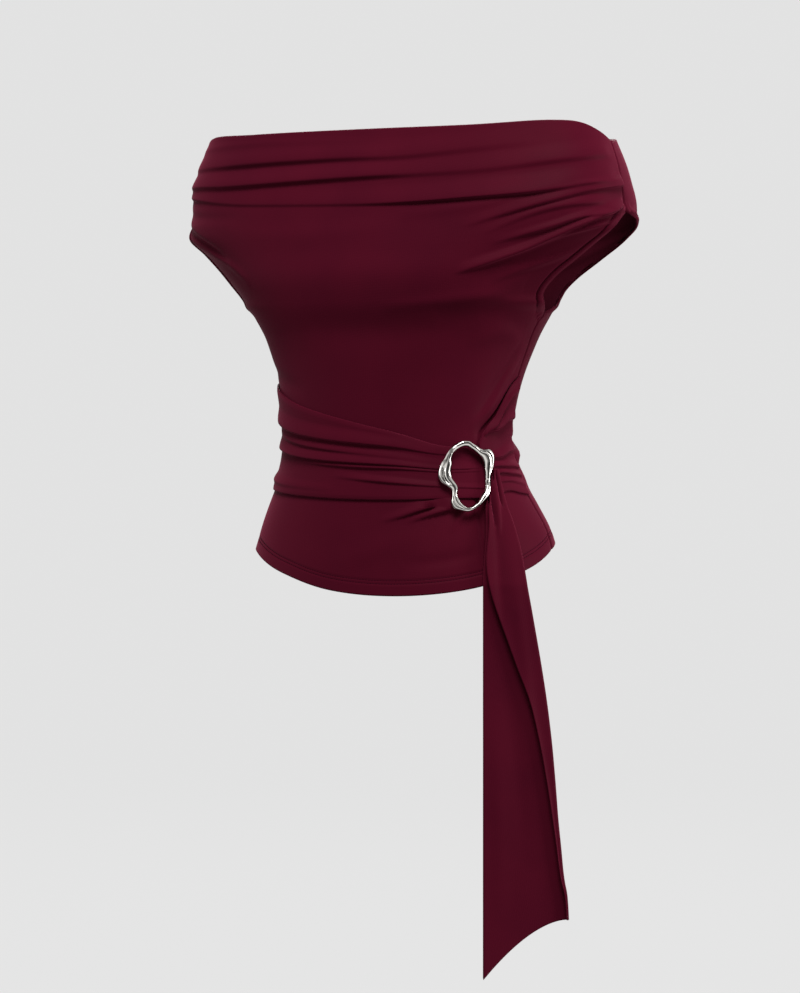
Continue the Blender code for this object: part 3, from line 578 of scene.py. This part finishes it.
def armhole_distance(points, across, z, front):
    """Distance of each grid point from the armhole edges, or a large number far from them."""
    at = np.linspace(UNDERARM_Z, SLEEVE_HEM_Z, ARM_SAMPLES)
    distance = np.full(across.shape, 1.0)
    for side in (-1.0, 1.0):
        edge = panel_base(np.full(at.shape, side), at, front)
        near = (across * side > ARM_ACROSS) & (z > UNDERARM_Z - ARM_MARGIN) & (z < SLEEVE_HEM_Z + ARM_MARGIN)
        away = np.linalg.norm(points[near][:, None, :] - edge[None], axis=-1)
        distance[near] = away.min(axis=-1)
    return distance


def panel_surface(across, z, front):
    """Outer points of a jersey panel with its folds, turned hems and seams, and where it is doubled."""
    hem, neck = (FRONT_HEM, FRONT_NECK) if front else (BACK_HEM, BACK_NECK)
    base = panel_base(across, z, front)
    arm = armhole_distance(base, across, z, front)
    inside = smooth_step((1.0 - np.abs(across)) / SEAM_FADE)
    if front:
        lift, lap = pleat_relief(PLEATS, across, z, ACROSS_SPREAD)
        lift = lift + drape_relief(FRONT_DRAPES, across, z, ACROSS_SPREAD) * inside
    else:
        lap = np.zeros(across.shape)
        lift = drape_relief(BACK_DRAPES, across, z, ACROSS_SPREAD) * inside
    free = smooth_step(arm / ARM_FADE)
    lift, lap = lift * free, lap * free
    rolled = np.sin(np.pi * np.clip(1.0 - arm / ARM_BAND, 0.0, ARM_BAND_TOP))**ARM_BAND_POWER
    lift = lift + ARM_BAND_LIFT * rolled
    lift -= ARM_BAND_GROOVE * np.exp(-((arm - ARM_BAND - ARM_STITCH_STEP) / ROW_WIDTH)**2)
    from_hem = z - read_table(hem, "z", across)
    for row in HEM_ROWS:
        lift -= ROW_GROOVE * np.exp(-((from_hem - row) / ROW_WIDTH)**2)
    sewn = (z <= UNDERARM_Z) | (z >= SLEEVE_HEM_Z)
    lift -= sewn * SEAM_VALLEY * np.exp(-((1.0 - np.abs(across)) / SEAM_VALLEY_SHARE)**2)
    outer = panel_base(across, z - lap, front) + panel_outward(across, z, front) * lift[..., None]
    from_neck = read_table(neck, "z", across) - z
    turned_in = (HEM_TURN - from_hem, NECK_TURN - from_neck, ARM_BAND + TURN_FADE - arm)
    return outer, np.clip(sum(smooth_step(depth / TURN_FADE) for depth in turned_in), 0.0, 1.0)


def make_panel(name, front, levels, columns, hem, neck, material):
    across, z = panel_places(levels, columns, hem, neck)
    outer, doubled = panel_surface(across, z, front)
    uv = grid_uv(panel_base(across, z, front))
    if not front:
        outer, uv, doubled = outer[:, ::-1], uv[:, ::-1], doubled[:, ::-1]
    # The panels' inner side gets the full painted shade
    return shell(name, outer, SHELL + DOUBLED * doubled, uv, material, 1.0)


def sash_surface(edges, folds, columns, rows):
    """Outer points of one part of the sash, from the front panel's smooth form moved out."""
    along = np.linspace(0.0, 1.0, columns + 1)
    ring_first = abs(edges[0].across) < 1.0
    across = edges[0].across + (edges[-1].across - edges[0].across) * along
    share = np.linspace(0.0, 1.0, rows + 1)
    far, height = np.meshgrid(along, share)
    top, bottom = read_table(edges, "top", across), read_table(edges, "bottom", across)
    lift, lap = pleat_relief(folds, far, height, 1.0)
    edge = np.minimum(height, 1.0 - height) / SASH_EDGE_SHARE
    roll = SASH_EDGE_LIFT * np.sin(np.pi * np.clip(edge, 0.0, 1.0) / 2)
    near_ring = far if ring_first else 1.0 - far
    free = smooth_step((near_ring - SASH_PRESSED_START) / SASH_PRESSED_RUN)
    flat = SASH_PRESSED + (1.0 - SASH_PRESSED) * free
    z = bottom + (top - bottom) * (height - lap)
    grid_across = np.broadcast_to(across, z.shape)
    outward = panel_outward(grid_across, z, True)
    return panel_base(grid_across, z, True) + outward * (LAYER_GAP + SHELL + (lift + roll) * flat)[..., None]


def make_ring(material):
    clock = np.linspace(0.0, 360.0, RING_STEPS, endpoint=False)[:, None]
    turn = np.radians(np.linspace(0.0, 360.0, RING_SIDES, endpoint=False))[None, :]
    width, depth = read_table(RING_BARS, "width", clock), read_table(RING_BARS, "depth", clock)
    distance = read_table(RING_BARS, "distance", clock) + width / 2 * np.cos(turn)
    aside, up = distance * np.sin(np.radians(clock)), distance * np.cos(np.radians(clock)) * UPRIGHT_SHARE
    across = RING_ACROSS + aside * (ASIDE_ACROSS[0] + ASIDE_ACROSS[1] * aside)
    across, z = across + up * (UPRIGHT_ACROSS[0] + UPRIGHT_ACROSS[1] * up), RING_Z + up
    groove = read_table(RING_BARS, "groove", clock)
    groove = groove * np.exp(-((np.cos(turn) - GROOVE_PLACE) / GROOVE_WIDTH)**2)
    lift = RING_LIFT + depth / 2 * np.sin(turn) - groove * np.clip(np.sin(turn), 0.0, 1.0)
    points = panel_base(across, z, True) + panel_outward(across, z, True) * lift[..., None]
    number = np.arange(RING_STEPS * RING_SIDES).reshape(RING_STEPS, RING_SIDES)
    ahead = np.roll(number, -1, axis=0)
    faces = np.stack([number, np.roll(number, -1, axis=1), np.roll(ahead, -1, axis=1), ahead], axis=-1)
    return new_object(
        "ring_metal_band", points.reshape(-1, 3).tolist(), faces.reshape(-1, 4).tolist(), material)


def tail_section(row):
    """Outer line of the folded band at one height: distance from its left edge, and out of the cloth."""
    shares = np.linspace(0.0, 1.0, TAIL_LAYER_POINTS)
    angles = np.radians(np.linspace(*TAIL_TURN_ANGLES, TAIL_TURN_POINTS))
    back = [(row.left + (row.right - row.left) * share, 0.0) for share in shares]
    turn = [(row.right + TAIL_FOLD_GAP / 2 * math.sin(angle), TAIL_FOLD_GAP / 2 * (1 - math.cos(angle)))
            for angle in angles]
    flap = [(row.right + (row.flap - row.right) * share, TAIL_FOLD_GAP + TAIL_CURL * share**3)
            for share in shares]
    return np.array(back + turn + flap)


def tail_surface():
    heights = np.linspace(TAIL_ROWS[0].z, TAIL_ROWS[-1].z, TAIL_RINGS)
    rows = []
    for z in heights:
        row = Tail(z, *(read_table(TAIL_ROWS, column, z) for column in ("left", "right", "flap")))
        line = tail_section(row)
        rest_z = max(z, TAIL_ROOT[0].z)
        rest_across, clear = (read_table(TAIL_ROOT, column, rest_z) for column in ("across", "clear"))
        root = panel_base(rest_across, rest_z, True)
        outward = panel_outward(rest_across, rest_z, True)
        to_left = np.array([-outward[1], outward[0], 0.0])
        slant = TAIL_CORNER_RISE * smooth_step((TAIL_SLANT_Z - z) / (TAIL_SLANT_Z - TAIL_ROWS[0].z))
        wave = drape_relief(TAIL_FOLDS, line[:, 0], np.full(len(line), z), 1.0)
        points = root + outward * (clear + line[:, 1:] + wave[:, None]) + to_left * line[:, :1]
        points[:, 2] = z + slant * (1.0 - (1.0 - np.clip(line[:, 0] / row.right, 0, 1))**TAIL_SLANT_POWER)
        rows.append(points)
    return np.array(rows)


# Materials

def linear(red, green, blue):
    """Scene colour of a display colour given from 0 to 255."""
    shares = (red / 255, green / 255, blue / 255)
    return tuple(c / 12.92 if c <= 10 / 255 else ((c + 0.055) / 1.055)**2.4 for c in shares)


JERSEY_LIGHT = linear(44, 4, 14)
JERSEY_DEEP = linear(38, 3, 12)
THREAD_LIGHT = linear(30, 4, 12)
THREAD_DEEP = linear(18, 2, 7)
PAPER_COLOUR = (0.01, 0.01, 0.01)
PAPER_GLOW = linear(225, 225, 225)


def new_material(name, values):
    """A material with fixed values on its shader's own sockets."""
    material = bpy.data.materials.new(name)
    material.use_nodes = True
    shader = material.node_tree.nodes["Principled BSDF"]
    for socket, value in values.items():
        shader.inputs[socket].default_value = value
    return material, material.node_tree, shader


def add_node(tree, kind, values=None, **settings):
    """A node with its settings, and fixed values for some of its inputs."""
    node = tree.nodes.new(kind)
    for key, value in settings.items():
        setattr(node, key, value)
    for socket, value in (values or {}).items():
        node.inputs[socket].default_value = value
    return node


def join(tree, source, output, target, socket):
    tree.links.new(source.outputs[output], target.inputs[socket])


JERSEY_SHADER = {
    "IOR": 1.04, "Sheen Weight": 0.08, "Sheen Roughness": 0.5, "Sheen Tint": (0.9, 0.12, 0.25, 1.0),
}
# Painted shade: the inner side of a panel takes this share of the colour
INSIDE_SHADE_TINT = (0.45, 0.40, 0.40, 1.0)
BANDS = {"wave_type": "BANDS", "wave_profile": "SIN"}


def jersey_material(name):
    """Slinky knit: fine wales, a soft sheen, slow changes of tone, and painted shade on the inner side of the
    panels.
    """
    material, tree, shader = new_material(name, JERSEY_SHADER)
    place = add_node(tree, "ShaderNodeTexCoord")
    tone = add_node(tree, "ShaderNodeTexNoise", {"Scale": 9.0, "Detail": 3.0})
    join(tree, place, "Object", tone, "Vector")
    wales = add_node(tree, "ShaderNodeTexWave", {"Scale": 160.0, "Distortion": 0.6, "Detail": 1.0},
                     bands_direction="X", **BANDS)
    join(tree, place, "UV", wales, "Vector")
    courses = add_node(tree, "ShaderNodeTexWave", {"Scale": 210.0, "Distortion": 0.8},
                       bands_direction="Y", **BANDS)
    join(tree, place, "UV", courses, "Vector")
    knit = add_node(tree, "ShaderNodeMath", operation="MULTIPLY")
    join(tree, wales, "Fac", knit, 0)
    join(tree, courses, "Fac", knit, 1)
    level = add_node(tree, "ShaderNodeMapRange", {"From Min": 0.25, "From Max": 0.65})
    join(tree, tone, "Fac", level, "Value")
    mix = add_node(tree, "ShaderNodeMix", data_type="RGBA")
    mix.inputs["A"].default_value = (*JERSEY_DEEP, 1.0)
    mix.inputs["B"].default_value = (*JERSEY_LIGHT, 1.0)
    join(tree, level, "Result", mix, "Factor")
    shade = add_node(tree, "ShaderNodeMapRange", {"To Min": 0.72, "To Max": 1.12})
    join(tree, knit, 0, shade, "Value")
    loops = add_node(tree, "ShaderNodeMix", {"Factor": 0.35}, data_type="RGBA", blend_type="MULTIPLY")
    join(tree, mix, "Result", loops, "A")
    join(tree, shade, "Result", loops, "B")
    # Painted shade: the marked inner side is darkened by the tint above
    inner = add_node(tree, "ShaderNodeAttribute", attribute_name="painted_inside_shade")
    inside_shade = add_node(tree, "ShaderNodeMix", {"B": INSIDE_SHADE_TINT}, data_type="RGBA", blend_type="MULTIPLY")
    join(tree, inner, "Fac", inside_shade, "Factor")
    join(tree, loops, "Result", inside_shade, "A")
    join(tree, inside_shade, "Result", shader, "Base Color")
    rough = add_node(tree, "ShaderNodeMapRange", {"To Min": 0.44, "To Max": 0.54})
    join(tree, tone, "Fac", rough, "Value")
    join(tree, rough, "Result", shader, "Roughness")
    bump = add_node(tree, "ShaderNodeBump", {"Strength": 0.25, "Distance": 0.0002})
    join(tree, knit, 0, bump, "Height")
    join(tree, bump, "Normal", shader, "Normal")
    return material


# Painted reflections of the metal: bright and dark bands in its grey by how far the surface faces a fixed
# direction, shifted a little by a noise
REFLECTION_PAINT_FROM = (0.62, 0.10, 0.78)
REFLECTION_PAINT_NOISE = 0.45
Stop = namedtuple("Stop", "place grey")
REFLECTION_PAINT_STOPS = [
    Stop(0.0, 0.40), Stop(0.15, 0.66), Stop(0.24, 0.12), Stop(0.37, 0.04), Stop(0.44, 0.55), Stop(0.49, 0.88),
    Stop(0.59, 0.88), Stop(0.64, 0.30), Stop(0.71, 0.03), Stop(0.80, 0.08), Stop(0.88, 0.66), Stop(1.0, 0.75),
]
SILVER_TINT = (1.0, 0.965, 0.91)


def metal_material():
    """Polished silver with painted reflections: bright and dark bands in its colour by which way the surface
    faces.
    """
    material, tree, shader = new_material("ring_metal_polished", {"Metallic": 1.0})
    geometry = add_node(tree, "ShaderNodeNewGeometry")
    place = add_node(tree, "ShaderNodeTexCoord")
    noise = add_node(tree, "ShaderNodeTexNoise", {"Scale": 130.0, "Detail": 1.0})
    join(tree, place, "Object", noise, "Vector")
    facing = add_node(tree, "ShaderNodeVectorMath", {1: REFLECTION_PAINT_FROM}, operation="DOT_PRODUCT")
    join(tree, geometry, "Normal", facing, 0)
    bend = add_node(tree, "ShaderNodeMath", {1: REFLECTION_PAINT_NOISE}, operation="MULTIPLY_ADD")
    join(tree, noise, "Fac", bend, 0)
    join(tree, facing, "Value", bend, 2)
    shift = add_node(tree, "ShaderNodeMapRange", {"From Min": -0.775, "From Max": 1.225})
    join(tree, bend, 0, shift, "Value")
    # Painted reflections: this ramp sets the bright and dark bands of the base colour
    ramp = add_node(tree, "ShaderNodeValToRGB")
    join(tree, shift, "Result", ramp, "Fac")
    elements = ramp.color_ramp.elements
    while len(elements) < len(REFLECTION_PAINT_STOPS):
        elements.new(0.5)
    for element, (position, grey) in zip(elements, REFLECTION_PAINT_STOPS):
        element.position = position
        element.color = (*(grey * tint for tint in SILVER_TINT), 1.0)
    join(tree, ramp, "Color", shader, "Base Color")
    fine = add_node(tree, "ShaderNodeTexNoise", {"Scale": 900.0})
    join(tree, place, "Object", fine, "Vector")
    rough = add_node(tree, "ShaderNodeMapRange", {"To Min": 0.07, "To Max": 0.13})
    join(tree, fine, "Fac", rough, "Value")
    join(tree, rough, "Result", shader, "Roughness")
    return material


def thread_material():
    """Dull sewing thread, a little darker than the jersey, with a fine twist."""
    material, tree, shader = new_material("stitch_thread", {"Roughness": 0.8, "IOR": 1.03})
    place = add_node(tree, "ShaderNodeTexCoord")
    twist = add_node(tree, "ShaderNodeTexNoise", {"Scale": 2500.0})
    join(tree, place, "Object", twist, "Vector")
    mix = add_node(tree, "ShaderNodeMix", data_type="RGBA")
    mix.inputs["A"].default_value = (*THREAD_DEEP, 1.0)
    mix.inputs["B"].default_value = (*THREAD_LIGHT, 1.0)
    join(tree, twist, "Fac", mix, "Factor")
    join(tree, mix, "Result", shader, "Base Color")
    return material


STITCH_PITCH = 0.0030
STITCH_LENGTH = 0.0024
STITCH_RADIUS = 0.00034
STITCH_SIDES = 6
# A stitch from end to end: place along it and share of its radius
STITCH_PROFILE = [(-0.5, 0.25), (-0.38, 0.85), (0.0, 1.0), (0.38, 0.85), (0.5, 0.25)]
STITCH_AHEAD = 0.0005


def read_line(at, lengths, points):
    return np.stack([np.interp(at, lengths, points[:, k]) for k in range(3)], axis=-1)


def stitches(name, paths, material):
    """Short round stitches along lines of (point, outward) samples."""
    sides, profile = STITCH_SIDES, STITCH_PROFILE
    vertices, faces = [], []
    for points, outward in paths:
        lengths = np.concatenate([[0.0], np.cumsum(np.linalg.norm(np.diff(points, axis=0), axis=1))])
        at = np.arange(STITCH_PITCH / 2, lengths[-1], STITCH_PITCH)
        place = read_line(at, lengths, points)
        ahead = read_line(at + STITCH_AHEAD, lengths, points) - place
        up = read_line(at, lengths, outward)
        for centre, run, out in zip(place, ahead, up):
            if np.linalg.norm(run) < 1e-7:
                continue
            run = run / np.linalg.norm(run)
            side = np.cross(run, out)
            first = len(vertices)
            for shift, radius in profile:
                for step in range(sides):
                    angle = math.tau * step / sides
                    vertices.append(centre + run * shift * STITCH_LENGTH + STITCH_RADIUS * radius
                                    * (side * math.cos(angle) + out * math.sin(angle)))
            for ring in range(len(profile) - 1):
                for step in range(sides):
                    beside = (step + 1) % sides
                    here, there = first + ring * sides, first + (ring + 1) * sides
                    faces.append([here + step, there + step, there + beside, here + beside])
            faces.append([first + step for step in range(sides)])
            faces.append([first + (len(profile) - 1) * sides + step for step in reversed(range(sides))])
    return new_object(name, [tuple(v) for v in vertices], faces, material)


# Where rows of stitches start and end, and how many samples they have
ROW_ACROSS = 0.995
ROW_SAMPLES = 400
ARM_ROW_BELOW = 0.004
ARM_ROW_ABOVE = 0.002
ARM_ROW_SAMPLES = 120
EDGE_STEP = 0.01


def hem_paths(front):
    """Lines of stitches in the grooves along the hem and both armholes of one panel."""
    paths = []
    across = np.linspace(-ROW_ACROSS, ROW_ACROSS, ROW_SAMPLES)
    for row in HEM_ROWS:
        paths.append((across, read_table(FRONT_HEM if front else BACK_HEM, "z", across) + row))
    z = np.linspace(UNDERARM_Z + ARM_ROW_BELOW, SLEEVE_HEM_Z - ARM_ROW_ABOVE, ARM_ROW_SAMPLES)
    for side in (-1.0, 1.0):
        edge = panel_base(np.full(z.shape, side), z, front)
        along = np.gradient(edge, axis=0)
        along /= np.linalg.norm(along, axis=-1, keepdims=True)
        inward = (panel_base(np.full(z.shape, side * (1.0 - EDGE_STEP)), z, front) - edge) / EDGE_STEP
        scale = np.linalg.norm(inward, axis=-1)
        slant = (inward / scale[:, None] * along).sum(axis=-1)
        reach = (ARM_BAND + ARM_STITCH_STEP) / np.sqrt(1.0 - slant**2)
        paths.append((side * (1.0 - reach / scale), z - reach * slant * along[:, 2]))
    return [(panel_surface(across, z, front)[0], panel_outward(across, z, front)) for across, z in paths]


def soft_light(name, place, target, width, height, power):
    data = bpy.data.lights.new(name, "AREA")
    data.shape = "RECTANGLE"
    data.size, data.size_y = width, height
    data.energy = power
    light = bpy.data.objects.new(name, data)
    bpy.context.scene.collection.objects.link(light)
    light.location = place
    light.rotation_mode = "QUATERNION"
    light.rotation_quaternion = (Vector(target) - light.location).to_track_quat("-Z", "Y")


# The studio bowl: (radius, height) from the middle of the floor, round the bend and up the wall
FLOOR_Z = -0.95
BOWL_FLOOR = [(0.02, 0.0), (1.5, 0.0), (4.0, 0.0), (6.0, 0.0)]
BOWL_BEND = 3.0
BOWL_BEND_ANGLES = (10, 90, 9)
BOWL_WALL = [(9.0, 5.0), (9.0, 8.0)]
BOWL_SIDES = 72


def make_backdrop():
    """A pale floor that curves up into a wall all round, like a studio bowl."""
    start = BOWL_FLOOR[-1][0]
    bend = [(start + BOWL_BEND * math.sin(angle), BOWL_BEND - BOWL_BEND * math.cos(angle))
            for angle in np.radians(np.linspace(*BOWL_BEND_ANGLES))]
    profile = BOWL_FLOOR + bend + BOWL_WALL
    vertices, faces = [], []
    for radius, height in profile:
        for step in range(BOWL_SIDES):
            angle = math.tau * step / BOWL_SIDES
            vertices.append((radius * math.cos(angle), radius * math.sin(angle), FLOOR_Z + height))
    for ring in range(len(profile) - 1):
        for step in range(BOWL_SIDES):
            beside = (step + 1) % BOWL_SIDES
            here, there = ring * BOWL_SIDES, (ring + 1) * BOWL_SIDES
            faces.append([here + step, there + step, there + beside, here + beside])
    faces.append(list(range(BOWL_SIDES)))
    material = new_material("studio_paper", {
        "Base Color": (*PAPER_COLOUR, 1.0), "Roughness": 0.9, "Specular IOR Level": 0.0,
        "Emission Color": (*PAPER_GLOW, 1.0), "Emission Strength": 1.0,
    })[0]
    piece = new_object("studio_bowl", vertices, faces, material)


# The camera: level, 25 degrees round to the wearer's left, with a long lens
VIEW_ANGLE = math.radians(25.0)
VIEW_ASIDE = -0.0075
VIEW_BACK = 3.7855
VIEW_HEIGHT = -0.316
LENS_MM = 140.23
CLIP = (0.1, 60.0)


def camera_side(ahead, aside, height):
    """A place given in metres towards the camera, to its right and up."""
    cosine, sine = math.cos(VIEW_ANGLE), math.sin(VIEW_ANGLE)
    return (ahead * sine + aside * cosine, -ahead * cosine + aside * sine, height)


def make_camera():
    data = bpy.data.cameras.new("studio_camera")
    data.lens = LENS_MM
    data.clip_start, data.clip_end = CLIP
    camera = bpy.data.objects.new("studio_camera", data)
    bpy.context.scene.collection.objects.link(camera)
    camera.location = camera_side(VIEW_BACK, VIEW_ASIDE, VIEW_HEIGHT)
    camera.rotation_euler = (math.radians(90.0), 0.0, VIEW_ANGLE)
    bpy.context.scene.camera = camera


# Soft boxes: metres towards the camera, to its right and up from the object, width and height, and power
StudioLight = namedtuple("StudioLight", "name ahead aside height width tall power")
STUDIO_LIGHTS = [
    StudioLight("key_light", 1.9, 0.1, 2.5, 1.6, 1.4, 330.0),
    StudioLight("right_light", 0.6, 3.0, 0.0, 1.1, 2.0, 165.0),
    StudioLight("left_light", 0.3, -2.8, 0.5, 0.8, 1.8, 14.0),
    StudioLight("back_light", -3.0, 0.4, 1.8, 2.0, 1.6, 150.0),
]
LIT_POINT = (0.0, 0.0, -0.2)
AIR_GLOW = 0.77


def make_lights():
    world = bpy.data.worlds.new("studio_air")
    world.use_nodes = True
    background = world.node_tree.nodes["Background"]
    background.inputs["Color"].default_value = (1.0, 1.0, 1.0, 1.0)
    background.inputs["Strength"].default_value = AIR_GLOW
    bpy.context.scene.world = world
    for name, ahead, aside, height, width, tall, power in STUDIO_LIGHTS:
        soft_light(name, camera_side(ahead, aside, height), LIT_POINT, width, tall, power)
    bpy.context.scene.view_settings.view_transform = "Standard"
    bpy.context.scene.view_settings.look = "None"


jersey_front = jersey_material("jersey_front")
jersey_back = jersey_material("jersey_back")
jersey_sash = jersey_material("jersey_sash")

front = make_panel(
    "jersey_front_shell", True, FRONT_LEVELS, FRONT_COLUMNS, FRONT_HEM, FRONT_NECK, jersey_front)
back = make_panel(
    "jersey_back_shell", False, BACK_LEVELS, BACK_COLUMNS, BACK_HEM, BACK_NECK, jersey_back)
right_points = sash_surface(SASH_RIGHT, SASH_RIGHT_FOLDS, *SASH_RIGHT_GRID)
right = shell("sash_right_shell", right_points, SHELL, grid_uv(right_points), jersey_sash)
left_points = sash_surface(SASH_LEFT, SASH_LEFT_FOLDS, *SASH_LEFT_GRID)
left = shell("sash_left_shell", left_points, SHELL, grid_uv(left_points), jersey_sash)
tail_points = tail_surface()
tail = shell("sash_tail_shell", tail_points, TAIL_SHELL, grid_uv(tail_points), jersey_sash)
ring = make_ring(metal_material())
hem_stitches = stitches("hem_stitches", hem_paths(True) + hem_paths(False), thread_material())

PIECES = [
    (front, "front_panel", "jersey"), (back, "back_panel", "jersey"), (right, "sash_right", "jersey"),
    (left, "sash_left", "jersey"), (tail, "sash_tail", "jersey"), (ring, "ring_buckle", "ring_metal"),
]
for piece, node, slot in PIECES:
    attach(piece, "root")
    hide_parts(node)
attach(hem_stitches, "root")

make_backdrop()
make_lights()
make_camera()
